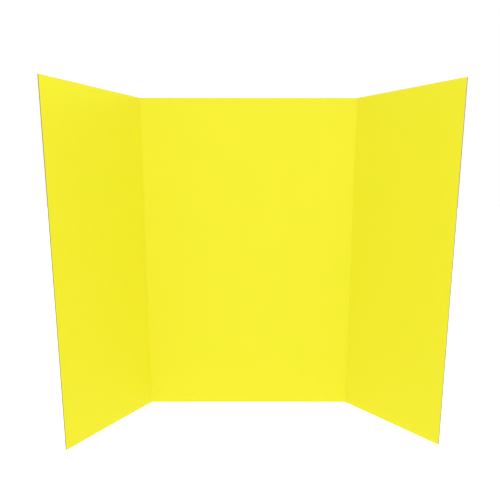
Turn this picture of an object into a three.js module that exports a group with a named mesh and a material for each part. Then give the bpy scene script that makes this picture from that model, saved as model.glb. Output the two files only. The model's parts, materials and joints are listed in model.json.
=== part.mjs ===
// A tri-fold display board of single-wall corrugated cardboard, standing open on its bottom edge.
// Millimetres, +Z up. The printed face of the centre panel is the plane y = 0 and looks towards -Y.
// The origin is on the centre panel's bottom edge, midway between the two folds.
//
// The board is one sheet of three plies: a coloured face liner, a fluted medium and a brown back
// liner. Two creases, pressed in from the back, divide it into a centre panel and two wings. Along
// a crease the flutes are pressed flat and the back liner is sunk into a groove, so the sheet bends
// there like a hinge. A wing turns forward from flat until its face lies on the centre panel's.

import * as THREE from 'three';

// ---- driving dimensions ----
const boardHeight = 914.4;
const foldToFold = 609.6;            // between the hinge lines of the two creases
const boardCaliper = 3.0;            // the whole sheet, face to back
const linerCaliper = 0.25;
const mediumCaliper = 0.2;
const flutePitch = 6.5;
const grooveHalfWidth = 1.2;         // of the flat bottom of a crease's groove, from its hinge line
const sideAngle = 50;                // degrees, of the sides of a flute and of a groove to the sheet
const wingTurn = { left: 57.8, right: 50.2 };    // degrees forward from flat, as the board stands

// ---- named clearances ----
const glueLine = 0.1;                // between the medium and a liner
const hingeLineClearance = 0.2;      // from a hinge line to the plies on each side of it
const foldedFaceGap = 0.3;           // from the centre panel's face to a wing folded onto it
const wingTipGap = 1.5;              // between the tips of the two wings, both folded

// ---- sizes that follow ----
const hingeDepth = -foldedFaceGap / 2;           // a hinge line lies just in front of the face
const wingReach = (foldToFold - wingTipGap) / 2; // from the hinge line to the wing's tip
const troughDepth = linerCaliper + glueLine + mediumCaliper / 2;
const crestDepth = boardCaliper - troughDepth;
const plySpacing = (linerCaliper + mediumCaliper) / 2 + glueLine;
const pressedBackDepth = troughDepth + plySpacing;
const backDepth = boardCaliper - linerCaliper / 2;
const sideSlope = Math.tan(THREE.MathUtils.degToRad(sideAngle));
const sideRun = (crestDepth - troughDepth) / sideSlope;
const mitreShift = plySpacing * Math.tan(THREE.MathUtils.degToRad(sideAngle) / 2);

// ---- finishes ----
function paper(color, roughness) {
  return new THREE.MeshStandardMaterial({ color, roughness, metalness: 0 });
}

const yellowPrint = paper(0xf6ef34, 0.6);
const brownLiner = paper(0xb48a5a, 0.9);
const brownMedium = paper(0xa87c4c, 0.95);

// ---- sections ----
// A ply's section is drawn along its own middle line. Distances run from a panel's first hinge
// line, and depths from its face to its back.

// The outline of a sheet that follows a line of points, with mitred corners.
function sheetOutline(line, caliper) {
  const normals = line.slice(1).map((point, i) => {
    const along = point.clone().sub(line[i]).normalize();
    return new THREE.Vector2(-along.y, along.x);
  });
  const offsets = line.map((point, i) => {
    const before = normals[Math.max(i - 1, 0)];
    const after = normals[Math.min(i, normals.length - 1)];
    const length = caliper / 2 / (1 + before.dot(after));
    return before.clone().add(after).multiplyScalar(length);
  });
  const front = line.map((point, i) => point.clone().sub(offsets[i]));
  const back = line.map((point, i) => point.clone().add(offsets[i]));
  return [...front, ...back.reverse()];
}

// Where a ply ends: short of the hinge line at a crease, or level with the cut edge.
function plyEnd(panel) {
  return panel.creasedAtBothEnds ? panel.length - hingeLineClearance : panel.length;
}

function faceLine(panel) {
  const depth = linerCaliper / 2;
  return [new THREE.Vector2(hingeLineClearance, depth), new THREE.Vector2(plyEnd(panel), depth)];
}

// The back liner is sunk into the groove of each crease.
function backLine(panel) {
  const pressed = new THREE.Vector2(grooveHalfWidth, pressedBackDepth);
  const full = new THREE.Vector2(grooveHalfWidth + sideRun, backDepth);
  const line = [new THREE.Vector2(hingeLineClearance, pressedBackDepth), pressed, full];
  if (!panel.creasedAtBothEnds) {
    return [...line, new THREE.Vector2(plyEnd(panel), backDepth)];
  }
  const mirrored = line.map((point) => new THREE.Vector2(panel.length - point.x, point.y));
  return [...line, ...mirrored.reverse()];
}

// The medium is flat in a groove, and its first flute rises along the groove's side. The panel is
// filled with whole flutes: a cut edge falls in the middle of a trough.
function mediumLine(panel) {
  const creases = panel.creasedAtBothEnds ? 2 : 1;
  const first = grooveHalfWidth + mitreShift;
  const last = panel.creasedAtBothEnds ? panel.length - first : panel.length;
  const filled = last - first - creases * sideRun / 2;
  const flutes = Math.round(filled / flutePitch + creases / 4);
  const pitch = filled / (flutes - creases / 4);
  const flat = pitch / 2 - sideRun;
  const line = [new THREE.Vector2(hingeLineClearance, troughDepth)];
  for (let flute = 0; flute < flutes; flute += 1) {
    const rise = first + flute * pitch;
    const crest = rise + sideRun;
    line.push(new THREE.Vector2(rise, troughDepth), new THREE.Vector2(crest, crestDepth));
    line.push(new THREE.Vector2(crest + flat, crestDepth));
    line.push(new THREE.Vector2(crest + flat + sideRun, troughDepth));
  }
  return [...line, new THREE.Vector2(plyEnd(panel), troughDepth)];
}

// ---- plies and panels ----
function ply(name, line, caliper, material, side) {
  const outline = sheetOutline(line, caliper).map((point) => new THREE.Vector2(side * point.x, point.y));
  const options = { depth: boardHeight, bevelEnabled: false };
  const mesh = new THREE.Mesh(new THREE.ExtrudeGeometry(new THREE.Shape(outline), options), material);
  mesh.name = name;
  return mesh;
}

// A panel stands in a group of its own, with its first hinge line's foot at x = 0 on its face. It
// runs towards +X, or towards -X where side is -1.
function makePanel(panel, side) {
  const group = new THREE.Group();
  group.add(ply(`${panel.name}_face_liner`, faceLine(panel), linerCaliper, yellowPrint, side));
  group.add(ply(`${panel.name}_fluted_medium`, mediumLine(panel), mediumCaliper, brownMedium, side));
  group.add(ply(`${panel.name}_back_liner`, backLine(panel), linerCaliper, brownLiner, side));
  return group;
}

const centre = makePanel({ name: 'centre', length: foldToFold, creasedAtBothEnds: true }, 1);
centre.position.x = -foldToFold / 2;

// A hinge is a group on the hinge line, which carries its wing and is turned with it.
function makeHingedWing(sideName, side) {
  const hinge = new THREE.Group();
  hinge.position.set(side * foldToFold / 2, hingeDepth, 0);
  hinge.rotation.z = -side * THREE.MathUtils.degToRad(wingTurn[sideName]);
  const panel = { name: `${sideName}_wing`, length: wingReach, creasedAtBothEnds: false };
  const wing = makePanel(panel, side);
  wing.position.y = -hingeDepth;
  hinge.add(wing);
  return hinge;
}

const board = new THREE.Group();
board.add(centre, makeHingedWing('left', -1), makeHingedWing('right', 1));

export default board;
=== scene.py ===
# %% [markdown]
# # A tri-fold display board
#
# The board stands open on its bottom edge: a centre panel and two wings, cut from one sheet of
# corrugated cardboard. The sheet has three plies. A yellow printed liner is the face, a brown kraft
# liner is the back, and a wavy sheet, the fluted medium, holds the two apart. This lesson builds
# every ply as a thin mesh of its own, folds the wings, and finishes the papers with nodes.

import json
import math

import bpy
import numpy as np
from mathutils import Matrix, Vector


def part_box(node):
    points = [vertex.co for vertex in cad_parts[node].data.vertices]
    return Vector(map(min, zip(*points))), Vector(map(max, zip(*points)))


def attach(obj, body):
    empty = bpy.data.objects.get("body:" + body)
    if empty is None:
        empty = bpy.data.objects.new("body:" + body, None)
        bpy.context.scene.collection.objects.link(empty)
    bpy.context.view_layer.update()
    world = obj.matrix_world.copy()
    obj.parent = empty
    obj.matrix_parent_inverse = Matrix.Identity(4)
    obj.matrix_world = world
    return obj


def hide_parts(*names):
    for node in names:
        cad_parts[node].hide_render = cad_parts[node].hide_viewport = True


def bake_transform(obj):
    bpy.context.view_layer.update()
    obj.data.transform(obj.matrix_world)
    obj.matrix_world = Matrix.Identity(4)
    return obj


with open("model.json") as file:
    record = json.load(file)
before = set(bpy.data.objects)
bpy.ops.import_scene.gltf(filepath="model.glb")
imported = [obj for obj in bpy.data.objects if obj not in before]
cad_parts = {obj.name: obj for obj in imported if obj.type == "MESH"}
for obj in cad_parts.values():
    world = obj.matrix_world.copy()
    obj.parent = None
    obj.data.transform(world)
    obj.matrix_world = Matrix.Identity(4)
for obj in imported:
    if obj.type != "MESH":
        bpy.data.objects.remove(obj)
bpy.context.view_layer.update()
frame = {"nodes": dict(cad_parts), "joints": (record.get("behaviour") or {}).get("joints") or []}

# %% [markdown]
# ## Sizes
#
# The frame already holds the board's real sizes, so they are measured there and never typed again.
# A joint gives each fold: its hinge line, and the angle from flat to where the wing stands, because
# the joint's lower limit is the flat board. What the frame doesn't say, such as the shape of a
# crease's groove, is a named value here.

# %% Sizes from the frame
MM = 0.001
board_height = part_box("centre_face_liner")[1].z
liner_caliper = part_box("centre_face_liner")[1].y
board_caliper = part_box("centre_back_liner")[1].y
print(f"sheet {board_caliper / MM:.2f} mm thick, liners {liner_caliper / MM:.2f} mm")


class Fold:
    """A crease between the centre panel and a wing, read from the wing's joint."""

    def __init__(self, joint):
        self.wing = joint["child"]
        self.hinge = np.array(joint["pos_m"])
        self.side = math.copysign(1, self.hinge[0])
        self.turn = math.radians(-joint["range_deg"][0]) * joint["axis"][2]
        outward = Matrix.Rotation(self.turn, 3, "Z") @ Vector((self.side, 0, 0))
        face = frame["nodes"][f"{self.wing}_face_liner"].data
        self.reach = max((v.co - Vector(self.hinge)).dot(outward) for v in face.vertices)


folds = [Fold(joint) for joint in frame["joints"]]
crease_x = abs(folds[0].hinge[0])
for fold in folds:
    print(f"{fold.wing}: {fold.reach / MM:.1f} mm wide, {math.degrees(fold.turn):.1f} degrees")

# %% Sizes of the paper's own relief
medium_caliper = 0.2 * MM
glue = 0.02 * MM                 # between the medium's tips and a liner
flute_pitch = 6.5 * MM
web_caliper = 0.9 * MM           # of the sheet where a crease has pressed it thin
groove_floor = 0.9 * MM          # half the width of the groove's flat bottom
groove_wall = 2.4 * MM           # from the edge of the bottom to full thickness
first_crest = 3.85 * MM          # from a hinge line to the nearest flute tip
bend_half = 1.5 * MM             # a fold bends within this distance of its hinge line
corner_radius = 1.2 * MM
face_sink = 0.022 * MM           # of a liner between two of the tips that hold it
back_sink = 0.045 * MM
knife_reach = 1.2 * MM           # how far in the knife pinched the top and the bottom
centre_bow = 0.5 * MM
wing_bow = 0.35 * MM
print(f"web {web_caliper / MM:.1f} mm, groove {2 * (groove_floor + groove_wall) / MM:.1f} mm wide")

# %% [markdown]
# ## Writing shader maths as Python
#
# A material is a graph of nodes, and wiring one by hand takes three lines for every plus sign. A
# small class that wraps an output socket and answers to +, - and * lets the graph be written as an
# ordinary expression. Everything that isn't arithmetic comes from one method, node(), which sets a
# node's own settings before its inputs, because some settings change which inputs exist.

# %% A socket that can be calculated with
class Wire:
    """An output socket of a node, as a number in an expression."""

    def __init__(self, graph, socket):
        self.graph, self.socket = graph, socket

    def maths(self, operation, *values):
        return self.graph.node("Math", {"operation": operation}, dict(enumerate(values)))

    def __add__(self, other):
        return self.maths("ADD", self, other)

    def __sub__(self, other):
        return self.maths("SUBTRACT", self, other)

    def __rsub__(self, other):
        return self.maths("SUBTRACT", other, self)

    def __mul__(self, other):
        return self.maths("MULTIPLY", self, other)

    __radd__, __rmul__ = __add__, __mul__

    def cosine(self):
        return self.maths("COSINE", self)

    def rising(self, low, high):
        """0 where the value is under low, 1 where it is over high, and smooth between."""
        inputs = {"Value": self, "From Min": low, "From Max": high}
        return self.graph.node("MapRange", {"interpolation_type": "SMOOTHSTEP"}, inputs)


# %% A tree of nodes
class Graph:
    """The node tree of a material or a world."""

    def __init__(self, owner):
        owner.use_nodes = True
        self.tree = owner.node_tree
        self.tree.nodes.clear()

    def node(self, kind, settings=None, inputs=None, output=0):
        """Adds a node and returns one of its outputs. A ramp's stops are a setting too."""
        made = self.tree.nodes.new(f"ShaderNode{kind}")
        for name, value in (settings or {}).items():
            if name == "stops":
                self.set_stops(made.color_ramp.elements, value)
            else:
                setattr(made, name, value)
        for name, value in (inputs or {}).items():
            if isinstance(value, Wire):
                self.tree.links.new(value.socket, made.inputs[name])
            else:
                made.inputs[name].default_value = value
        return Wire(self, made.outputs[output]) if made.outputs else None

    def set_stops(self, elements, stops):
        while len(elements) < len(stops):
            elements.new(1.0)
        for element, (place, color) in zip(elements, stops, strict=True):
            element.position, element.color = place, (*color, 1)

    def mixed(self, share, first, second):
        """A colour that goes from first to second as share goes from 0 to 1."""
        first, second = [c if isinstance(c, Wire) else (*c, 1) for c in (first, second)]
        return self.node("Mix", {"data_type": "RGBA"}, {0: share, 6: first, 7: second}, output=2)

    def scaled(self, vector, factor):
        """A colour or a vector, times a number."""
        return self.node("VectorMath", {"operation": "SCALE"}, {0: vector, "Scale": factor})

    def stretched(self, vector, factors):
        """A vector whose three parts are each multiplied by a factor of their own."""
        return self.node("VectorMath", {"operation": "MULTIPLY"}, {0: vector, 1: factors})

    def noise(self, place, size, detail=3.0, roughness=0.55):
        """Noise round 0, mostly within 0.5 of it, whose blotches are about a size across."""
        inputs = {"Vector": place, "Scale": 1 / size, "Detail": detail, "Roughness": roughness}
        return self.node("TexNoise", None, inputs) * 2 - 1


# %% [markdown]
# ## Camera, floor and light
#
# The camera stands level with the upper half of the board and looks slightly down. Its lens is
# shifted instead of being tilted further, which keeps upright edges nearly upright.
#
# A bright sheet of coloured card is best lit by its surroundings. The walls are a white world, which
# is greyer overhead, and the board stands on a light table: a floor that glows a little by itself,
# so that it stays white inside the fold, where the yellow would tint it. A soft box in front makes
# the centre panel brighter than the wings, and one at the side rakes across the brown back, where it
# shows the creases.

# %% Camera
camera = bpy.data.objects.new("camera", bpy.data.cameras.new("camera"))
bpy.context.scene.collection.objects.link(camera)
camera.location = (0.0028, -1.2807, 0.6601)
camera.rotation_euler = (math.radians(90 - 9.55), math.radians(-0.04), math.radians(-0.08))
camera.data.sensor_width = 36
camera.data.lens = 31.31
camera.data.shift_y = 0.026
bpy.context.scene.camera = camera
print(f"camera: {camera.data.lens} mm lens, {camera.location.length:.2f} m from the board's foot")


# %% Soft boxes
def soft_box(name, place, size, power):
    """A square area light that faces the middle of the board."""
    light = bpy.data.lights.new(name, "AREA")
    light.size = size
    light.energy = power
    lamp = bpy.data.objects.new(name, light)
    bpy.context.scene.collection.objects.link(lamp)
    lamp.location = place
    aim = Vector((0, 0, board_height / 2)) - Vector(place)
    lamp.rotation_euler = aim.to_track_quat("-Z", "Y").to_euler()
    print(f"{name}: {power} W, {aim.length:.1f} m away")


soft_box("front_box", (0.4, -2.75, 1.6), 2.4, 16.5)
soft_box("overhead_box", (0, -0.3, 3.4), 3.0, 10)
soft_box("side_box", (2.9, 1.5, 0.8), 1.6, 34)

# %% White walls
world = bpy.data.worlds.new("white_walls")
bpy.context.scene.world = world
bpy.context.scene.view_settings.view_transform = "Standard"
walls = Graph(world)
direction = walls.node("TexCoord", output="Generated")
height = walls.node("SeparateXYZ", None, {0: direction}, output="Z")
ceiling = height.rising(0.42, 0.62)
glow = walls.node("Background", None, {"Color": (1, 1, 1, 1), "Strength": 1 - 0.6 * ceiling})
walls.node("OutputWorld", None, {"Surface": glow})
print("walls:", len(walls.tree.nodes), "nodes")

# %% A light table
bpy.ops.mesh.primitive_plane_add(size=30)
floor = bpy.context.object
floor.name = "light_table"
floor.data.materials.append(bpy.data.materials.new("frosted_glass"))
table_top = Graph(floor.data.materials[0])
grey, white = (0.38, 0.38, 0.38, 1), (1, 1, 1, 1)
glass = {"Base Color": grey, "Roughness": 0.8, "Emission Color": white, "Emission Strength": 0.92}
table_top.node("OutputMaterial", None, {"Surface": table_top.node("BsdfPrincipled", None, glass)})
print("floor:", [round(side, 1) for side in floor.dimensions], "m")

# %% [markdown]
# ## The sheet, drawn flat
#
# It is far easier to shape the board while it is flat, and to fold it afterwards. So every ply is
# first a sheet in flat coordinates: x across the whole board, y from face to back, and z up. The
# depth of its middle line is a formula of x and z, made of the few things that shape real board:
# the flutes, the groove of a crease, and the cut edges that the knife has pinched.

# %% Helpers for smooth shapes
def smoothstep(t):
    t = np.clip(t, 0, 1)
    return t * t * (3 - 2 * t)


def pinch(distance, width):
    """1 at a cut edge, falling to 0 at a width from it."""
    return np.clip(1 - distance / width, 0, 1) ** 2


def drift(x, z, seed, length):
    """A slow random unevenness from -1 to 1, whose waves are about a length long."""
    random = np.random.default_rng(seed)
    total = 0
    for _ in range(5):
        kx, kz = random.normal(0, 2 * math.pi / length, 2)
        total = total + np.sin(kx * x + kz * z + random.uniform(0, 2 * math.pi))
    return total / 5


# %% One panel's columns and flutes
class Panel:
    """A stretch of the flat sheet, from one seam or cut edge to the next."""

    def __init__(self, name, fold=None):
        self.name = name
        self.fold = fold
        self.run = fold.reach if fold else 2 * crease_x - first_crest
        spare = 0.5 if fold else 0   # a wing's cut edge falls between two flute tips
        self.flutes = round((self.run - first_crest) / flute_pitch - spare) + spare
        self.pitch = (self.run - first_crest) / self.flutes
        print(f"{name}: {self.flutes:g} flutes, {self.pitch / MM:.3f} mm apart")

    def columns(self, per_flute):
        """Places across the panel: evenly on the flutes, and close together in a crease."""
        steps = np.arange(0, self.flutes * per_flute + 0.5)
        fluted = first_crest + steps * self.pitch / per_flute
        start = -bend_half if self.fold else bend_half
        creased = np.arange(start, first_crest - 0.1 * MM, 0.2 * MM)
        if not self.fold:
            other = 2 * crease_x - creased[::-1]
            return np.concatenate([creased, fluted, other]) - crease_x
        edge = self.run - np.array([2.2, 1.6, 1.1, 0.7, 0.4, 0.15]) * MM
        places = np.unique(np.round(np.concatenate([creased, fluted, edge]), 7))
        return np.sort(self.fold.side * (crease_x + places))

    def cycles(self, x):
        """Flutes counted from the tip nearest a crease: a whole number is a tip on the back."""
        along = np.abs(x) - crease_x if self.fold else x + crease_x
        return np.clip((along - first_crest) / self.pitch, 0, self.flutes)

    def from_side(self, x):
        """The distance to the wing's cut edge, or a whole metre on the centre panel."""
        return crease_x + self.run - np.abs(x) if self.fold else np.ones_like(x)


panels = [Panel("centre")] + [Panel(fold.wing, fold) for fold in folds]

# %% Rows
edge_rows = np.array([0, 0.25, 0.6, 1.1, 1.8, 3.0]) * MM
middle_rows = np.linspace(12 * MM, board_height - 12 * MM, 17)
rows = np.concatenate([edge_rows, middle_rows, board_height - edge_rows[::-1]])
print(len(rows), "rows on every ply")


# %% [markdown]
# ## The depth of each ply
#
# A liner isn't flat. It is glued to the flutes at their tips and sinks a few hundredths of a
# millimetre between them, which is the washboard that shows on any corrugated board in low light.
# A crease presses the back in until the sheet is under a millimetre thick, and its wall wanders a
# little, because the creasing rule meets flutes of uneven strength. The medium is whatever wave is
# left between the two liners. It keeps its distance from the back where that one is steep, too: its
# furthest place is the lowest of a row of circles drawn round the liner.

# %% Depth from face to back
def from_crease(x):
    return np.abs(np.abs(x) - crease_x)


def from_ends(z):
    return np.minimum(z, board_height - z)


def pressed(x, z):
    """How far a crease has pressed the sheet: 1 on the groove's floor and 0 beyond its wall."""
    wander = 0.12 * MM * drift(0, z, 11, 0.12)
    return 1 - smoothstep((from_crease(x) + wander - groove_floor) / groove_wall)


def face_depth(panel, x, z):
    on_back_tip = (1 + np.cos(2 * math.pi * panel.cycles(x))) / 2
    sunk = face_sink * on_back_tip * (1 - pressed(x, z))
    side = 0.07 * MM * pinch(panel.from_side(x), 1.5 * MM)
    end = 0.04 * MM * pinch(from_ends(z), knife_reach)
    return liner_caliper / 2 + sunk + side + end


def back_depth(panel, x, z):
    on_face_tip = (1 - np.cos(2 * math.pi * panel.cycles(x))) / 2
    uneven = back_sink + 0.01 * MM * drift(x, z, 5, 0.2)
    sunk = uneven * on_face_tip * (1 - pressed(x, z))
    groove = (board_caliper - web_caliper) * pressed(x, z)
    side = (0.45 + 0.12 * drift(0, z, 7, 0.15)) * MM * pinch(panel.from_side(x), 3.5 * MM)
    end = 0.09 * MM * pinch(from_ends(z), knife_reach)
    return board_caliper - liner_caliper / 2 - sunk - groove - side - end


def medium_depth(panel, x, z):
    """The medium swings between the liners, and is crumpled small where a crease has crushed it."""
    clear = (liner_caliper + medium_caliper) / 2 + glue
    shifts = np.linspace(-0.96, 0.96, 9) * clear
    front = face_depth(panel, x, z) + clear
    back = np.min([back_depth(panel, x + s, z) - np.sqrt(clear**2 - s**2) for s in shifts], axis=0)
    wave = (1 + np.cos(2 * math.pi * panel.cycles(x))) / 2
    crumple = (1 + np.cos(3 * math.pi * (from_crease(x) / groove_floor - 1))) / 2
    return front + np.where(from_crease(x) < groove_floor, crumple, wave) * (back - front)


# %% [markdown]
# ## Folding the sheet
#
# A point near a crease turns about the hinge line by a share of the wing's angle: none on the
# centre panel, all of it on the wing, and a smooth rise in between. The share is read from where a
# point stands once turned, so it is found by going round a few times: fold, measure, fold again,
# until nothing changes.

# %% Fold a panel's points
settling_rounds = 40


def turned(points, fold, share):
    """Points of the flat board, turned about a fold's hinge line by a share of its angle."""
    x, y = points[..., 0] - fold.hinge[0], points[..., 1] - fold.hinge[1]
    c, s = np.cos(share * fold.turn), np.sin(share * fold.turn)
    places = [fold.hinge[0] + c * x - s * y, fold.hinge[1] + s * x + c * y, points[..., 2]]
    return np.stack(places, axis=-1)


for fold in folds:
    inner = np.array([fold.hinge[0] - fold.side * bend_half, 0, 0])
    outer = np.array([fold.hinge[0] + fold.side * bend_half, 0, 0])
    fold.start, fold.end = inner, turned(outer, fold, 1.0)


def folded(points, fold):
    """Flat points where the standing board has them."""
    along = fold.end - fold.start
    share = np.zeros(points.shape[:-1])
    for _ in range(settling_rounds):
        place = turned(points, fold, share)
        share = smoothstep((place - fold.start) @ along / (along @ along))
    return turned(points, fold, share)


# %% [markdown]
# ## A ply as a mesh
#
# A ply is a closed skin round its middle line: one grid of points for each side, half a caliper
# away, and a rim that joins them. The flat place of each point is kept on the mesh as an attribute,
# as its place across the sheet, up it and into it, with the flute that it lies on, how hard it was
# pressed and how near it is to a crease or a cut edge. The papers' nodes read those, so grain and
# print stay put on the sheet when the board folds.

# %% Shapes of a whole panel
def hollow(panel, x):
    """Board dries slightly hollow on its printed side: a panel's middle lies a little back."""
    if panel.fold:
        t = np.clip((np.abs(x) - crease_x) / panel.run, 0, 1)
        return wing_bow * (4 * t * (1 - t)) ** 2
    return centre_bow * np.clip(1 - (x / (crease_x - 5 * MM)) ** 2, 0, 1) ** 2


def heights(panel, x):
    """The rows' heights on each column: a wing's outer corners are rounded."""
    into = np.clip(corner_radius - panel.from_side(x), 0, corner_radius)
    cut = (corner_radius - np.sqrt(corner_radius**2 - into**2))[:, None]
    return cut + rows[None, :] * (board_height - 2 * cut) / board_height


# %% Faces of a closed skin
def skin_faces(columns, rows):
    """The corners of each face: the front grid, the back grid, and the four strips of the rim."""
    front = np.arange(columns * rows).reshape(columns, rows)
    back = front + columns * rows
    grids = [np.stack([g[:-1, :-1], g[1:, :-1], g[1:, 1:], g[:-1, 1:]], -1) for g in (front, back)]
    strips = [
        (front[:, 0], back[:, 0]),
        (back[:, -1], front[:, -1]),
        (back[0, :], front[0, :]),
        (front[-1, :], back[-1, :]),
    ]
    rim = [np.stack([a[:-1], b[:-1], b[1:], a[1:]], -1) for a, b in strips]
    return [grids[0].reshape(-1, 4), grids[1][..., ::-1].reshape(-1, 4), *rim]


# %% Unwrap a closed skin
def unwrap(mesh, flat, faces, front_share):
    """A map that gives the front and the back their shares of its width, and strips to the rim."""
    s = ((flat[..., 0] - flat[..., 0].min()) / np.ptp(flat[..., 0])).ravel()
    t = flat[..., 2].ravel() / board_height
    side = np.repeat([0.0, 1.0], len(s) // 2)
    corner = np.concatenate(faces).ravel()
    patch = np.repeat(np.arange(6), [4 * len(f) for f in faces])
    boxes = np.array([
        [0.003, front_share - 0.003, 0.02, 0.98],
        [front_share + 0.003, 0.985, 0.02, 0.98],
        [0.003, 0.985, 0.003, 0.012],
        [0.003, 0.985, 0.988, 0.997],
        [0.989, 0.992, 0.02, 0.98],
        [0.995, 0.998, 0.02, 0.98],
    ])[patch]
    u = np.where(patch < 4, s[corner], side[corner])
    v = np.where((patch == 2) | (patch == 3), side[corner], t[corner])
    left, right, low, high = boxes.T
    places = np.stack([left + u * (right - left), low + v * (high - low)], -1)
    layer = mesh.uv_layers.new(name="OFBake")
    layer.uv.foreach_set("vector", places.ravel().astype(np.float32))


# %% Build a ply
def keep(mesh, name, kind, values):
    attribute = mesh.attributes.new(name, kind, "POINT")
    key = "vector" if kind == "FLOAT_VECTOR" else "value"
    attribute.data.foreach_set(key, values.ravel().astype(np.float32))


def make_ply(name, panel, depth, caliper, per_flute, front_share):
    """A ply as an object, and the number of faces on its front."""
    x = panel.columns(per_flute)
    z = heights(panel, x)
    across = np.repeat(x[:, None], len(rows), axis=1)
    middle = depth(panel, across, z)
    slope = np.gradient(middle, x, axis=0)
    slope[[0, -1]] = 0   # its ends are cut square
    out = caliper / 2 / np.sqrt(1 + slope**2)
    bow = hollow(panel, across)
    flat = np.stack([
        np.stack([across - side * slope * out, middle + side * out + bow, z], -1) for side in (-1, 1)
    ])
    places = folded(flat, panel.fold) if panel.fold else flat
    faces = skin_faces(len(x), len(rows))
    mesh = bpy.data.meshes.new(name)
    mesh.from_pydata(places.reshape(-1, 3), [], np.concatenate(faces).tolist())
    mesh.polygons.foreach_set("use_smooth", np.ones(len(mesh.polygons), bool))
    mesh.set_sharp_from_angle(angle=math.radians(45))
    unwrap(mesh, flat, faces, front_share)
    both = np.ones((2, 1, 1))
    keep(mesh, "sheet", "FLOAT_VECTOR", flat[..., [0, 2, 1]])
    keep(mesh, "flute", "FLOAT", both * panel.cycles(across))
    keep(mesh, "pressed", "FLOAT", both * pressed(across, z))
    keep(mesh, "crease", "FLOAT", both * from_crease(across))
    keep(mesh, "edge", "FLOAT", both * np.minimum(panel.from_side(across), from_ends(z)))
    ply = bpy.data.objects.new(name, mesh)
    bpy.context.scene.collection.objects.link(ply)
    print(f"{name}: {len(mesh.polygons)} faces")
    return ply, len(faces[0])


# %% [markdown]
# ## Paper
#
# Paper has no single colour. Seen close, it is felted fibre: soft clouds a centimetre or two
# across, where the pulp settled thick or thin; clumps drawn out along the paper machine, which ran
# across the flutes; and single fibres, a few darker or paler than the rest. Each is a noise of its
# own size, and the stretched ones are noise read from squeezed coordinates.

# %% A paper and its patterns
class Paper(Graph):
    """A new material that reads what each ply keeps about its points."""

    def __init__(self, name):
        self.material = bpy.data.materials.new(name)
        super().__init__(self.material)
        self.place = self.kept("sheet", "Vector")
        self.along = self.stretched(self.place, (0.17, 1, 1))
        self.stripe = (self.kept("flute") * (2 * math.pi)).cosine()
        print("paper:", name)

    def kept(self, name, output="Fac"):
        return self.node("Attribute", {"attribute_name": name}, output=output)

    def specks(self, place, apart, radius):
        """1 inside round specks that lie about a distance apart, and 0 outside them."""
        inputs = {"Vector": place, "Scale": 1 / apart}
        away = self.node("TexVoronoi", {"voronoi_dimensions": "2D"}, inputs, output="Distance")
        uneven = self.noise(place, 2.3 * apart, 1.0) * radius * 1.6
        return 1 - (away * apart - uneven).rising(0.5 * radius, radius)

    def hairs(self, angle, apart, radius):
        """Single fibres: specks that are drawn out, at an angle to the sheet's width."""
        settings = {"rotation_type": "Z_AXIS"}
        bent = self.node("VectorRotate", settings, {"Vector": self.place, "Angle": angle})
        return self.specks(self.stretched(bent, (0.07, 1, 1)), apart, radius)

    def surface(self, color, roughness, height, relief, gloss):
        """Joins the patterns to a shader. Height is in units of relief, which is in metres."""
        normal = self.node("Bump", None, {"Height": height, "Distance": relief, "Strength": 1.0})
        inputs = {"Base Color": color, "Roughness": roughness, "Normal": normal}
        shader = self.node("BsdfPrincipled", None, inputs | {"Specular IOR Level": gloss})
        self.node("OutputMaterial", None, {"Surface": shader})
        return self.material


# %% [markdown]
# ## Brown papers
#
# The back liner is kraft: strong, unbleached and matt. Where it is glued to a flute tip it dries a
# shade darker, so faint stripes run up the back, and the creasing rule has polished the groove.
# The groove is also darker, partly from that polish and partly as painted shade, and the cut edges
# are darkened as painted shade for the shadow inside the open flutes.
# The medium is made from the coarsest pulp, and is the darkest of the three papers.

# %% Kraft and fluting
def brown_paper(name, dark, middle, light):
    paper = Paper(name)
    clouds = paper.noise(paper.place, 14 * MM)
    clumps = paper.noise(paper.along, 1.3 * MM, 4.0, 0.65)
    fibres = paper.noise(paper.along, 0.35 * MM, 2.0)
    tone = 0.5 + 0.16 * clouds + 0.30 * clumps + 0.30 * fibres
    stops = [(0.2, dark), (0.5, middle), (0.8, light)]
    color = paper.node("ValToRGB", {"stops": stops}, {"Fac": tone})
    dark_bits = paper.specks(paper.place, 17 * MM, 0.35 * MM)
    pale_hairs = paper.hairs(0.35, 5 * MM, 0.16 * MM) + paper.hairs(-0.6, 6 * MM, 0.14 * MM)
    pressed = paper.kept("pressed")
    # Painted shade: the cut edges are darkened, standing in for the shadow inside the open flutes.
    painted_edge_shade = 1 - (paper.kept("edge") + 0.3 * MM * clumps).rising(0.1 * MM, 0.9 * MM)
    shade = 1 - 0.35 * dark_bits + 0.14 * pale_hairs - 0.025 * paper.stripe
    # Painted shade in part: the groove is darkened for its polish and also to stand in for the shade
    # inside it.
    shade = shade - 0.14 * pressed - 0.22 * painted_edge_shade
    height = clumps + 0.8 * fibres + 0.6 * pale_hairs
    roughness = 0.88 - 0.16 * pressed + 0.08 * clumps
    return paper.surface(paper.scaled(color, shade), roughness, height, 0.02 * MM, 0.25)


kraft = brown_paper("kraft", (0.36, 0.205, 0.095), (0.45, 0.27, 0.13), (0.55, 0.35, 0.185))
fluting = brown_paper("fluting", (0.29, 0.175, 0.09), (0.36, 0.22, 0.115), (0.45, 0.29, 0.16))
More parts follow.
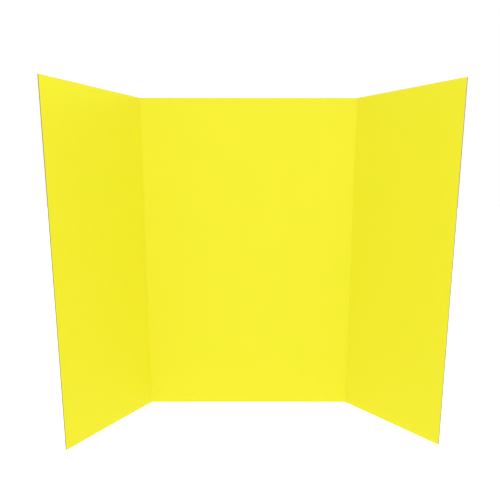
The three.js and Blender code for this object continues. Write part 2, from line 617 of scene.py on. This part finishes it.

# %% [markdown]
# ## The yellow print
#
# The face is a coat of yellow ink over the liner. From a step away it is one even yellow. Nearer,
# the ink is a little uneven: slow changes from the rollers, a fine mottle where the paper drank
# more or less of it, a few pinholes, and a worn hairline along the cut edges and the creases. Faint
# darker stripes over the flutes are painted shade, where the face dips between the tips that hold
# it. What covers the whole face is kept to a percent or two, because a stronger mottle would make a
# clean new board look dirty. Only the small marks are stronger.

# %% Yellow ink
def yellow_print():
    paper = Paper("yellow_print")
    rollers = paper.noise(paper.stretched(paper.place, (1, 1, 0.3)), 120 * MM, 2.0)
    mottle = paper.noise(paper.place, 4 * MM, 4.0, 0.6)
    grain = paper.noise(paper.place, 0.6 * MM, 2.0)
    fibres = paper.noise(paper.along, 0.35 * MM, 2.0)
    ink = paper.mixed(0.5 + rollers, (0.812, 0.772, 0.021), (0.820, 0.762, 0.023))
    pinholes = paper.specks(paper.place, 26 * MM, 0.22 * MM)
    lint = paper.hairs(0.9, 15 * MM, 0.12 * MM)
    # The stripe term is painted shade: the face is a shade darker where it dips between the flute
    # tips.
    shade = 1 + 0.010 * rollers + 0.016 * mottle + 0.014 * grain - 0.005 * paper.stripe
    color = paper.scaled(ink, shade - 0.08 * pinholes + 0.03 * lint)
    strained = 1 - paper.kept("crease").rising(0.1 * MM, 0.8 * MM)
    color = paper.mixed(strained * (0.12 + 0.2 * grain), color, (0.90, 0.87, 0.16))
    worn = 1 - (paper.kept("edge") + 0.35 * MM * mottle).rising(0.05 * MM, 0.6 * MM)
    color = paper.mixed(0.5 * worn, color, (0.55, 0.38, 0.13))
    height = fibres + 0.7 * mottle + 0.5 * grain
    roughness = 0.58 + 0.10 * mottle + 0.05 * grain + 0.2 * worn
    return paper.surface(color, roughness, height, 0.012 * MM, 0.2)


ink = yellow_print()

# %% [markdown]
# ## Putting the board together
#
# Every panel gets its three plies. A face liner wears two finishes: ink on the side that was
# printed, and bare kraft on its inside and its cut edges. The centre panel's plies ride on its
# body. A wing's plies start at the seam on the centre's side of the crease and bend across it, as
# the board stands.

# %% Plies of one panel
plies = {
    "face_liner": (face_depth, liner_caliper, 6, 0.94, "yellow_face", [ink, kraft]),
    "fluted_medium": (medium_depth, medium_caliper, 12, 0.5, "brown_medium", [fluting]),
    "back_liner": (back_depth, liner_caliper, 6, 0.05, "brown_liner", [kraft]),
}

for panel in panels:
    for part, (*shape, slot, papers) in plies.items():
        node = f"{panel.name}_{part}"
        ply, printed = make_ply(f"{node}_ply", panel, *shape)
        for paper in papers:
            ply.data.materials.append(paper)
        wearing = np.full(len(ply.data.polygons), len(papers) - 1, np.int32)
        wearing[:printed] = 0
        ply.data.polygons.foreach_set("material_index", wearing)
        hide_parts(node)
        if panel.fold:
            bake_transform(ply)
        else:
            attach(ply, "centre_panel")
